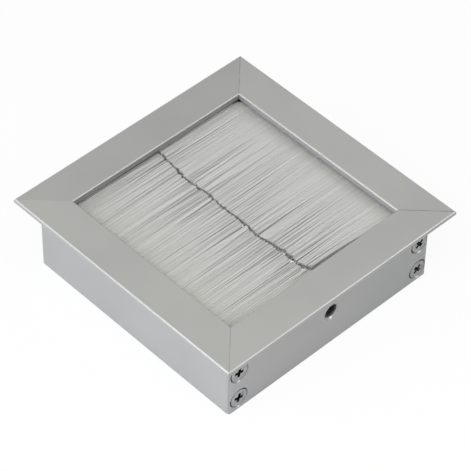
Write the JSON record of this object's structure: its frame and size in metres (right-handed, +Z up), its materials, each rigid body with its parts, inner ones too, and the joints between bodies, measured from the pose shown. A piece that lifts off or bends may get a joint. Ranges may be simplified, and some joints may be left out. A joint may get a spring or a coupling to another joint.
{
  "type": "brush cable grommet",
  "caption": "Square flanged cable grommet: a mitred frame of extruded aluminium whose facing strip brushes close the opening round a cable.",
  "frame": {"origin": "middle of the skirt's bottom rim, on the surface that the part stands on", "axes": "+Z up through the opening towards the flange, bristles along Y, screw heads in the +X and -X faces"},
  "size_m": [0.08, 0.08, 0.0233],
  "materials": {
    "anodised_aluminium": "satin anodised",
    "nickel_plated_steel": "nickel plated",
    "blackened_steel": "black oxide",
    "galvanised_steel": "galvanised",
    "nylon_bristle": "drawn filament, pale grey"
  },
  "bodies": {
    "root": {"frame_front": "anodised_aluminium", "frame_right": "anodised_aluminium", "frame_back": "anodised_aluminium", "frame_left": "anodised_aluminium", "screw_right_front_lower": "nickel_plated_steel", "screw_right_front_upper": "nickel_plated_steel", "screw_right_back_lower": "nickel_plated_steel", "screw_right_back_upper": "nickel_plated_steel", "screw_left_front_lower": "nickel_plated_steel", "screw_left_front_upper": "nickel_plated_steel", "screw_left_back_lower": "nickel_plated_steel", "screw_left_back_upper": "nickel_plated_steel", "set_screw_right": "blackened_steel", "set_screw_left": "blackened_steel", "brush_holder_front": "galvanised_steel", "brush_holder_back": "galvanised_steel", "core_wire_front": "galvanised_steel", "core_wire_back": "galvanised_steel", "bristles_front": "nylon_bristle", "bristles_back": "nylon_bristle"}
  },
  "joints": []
}
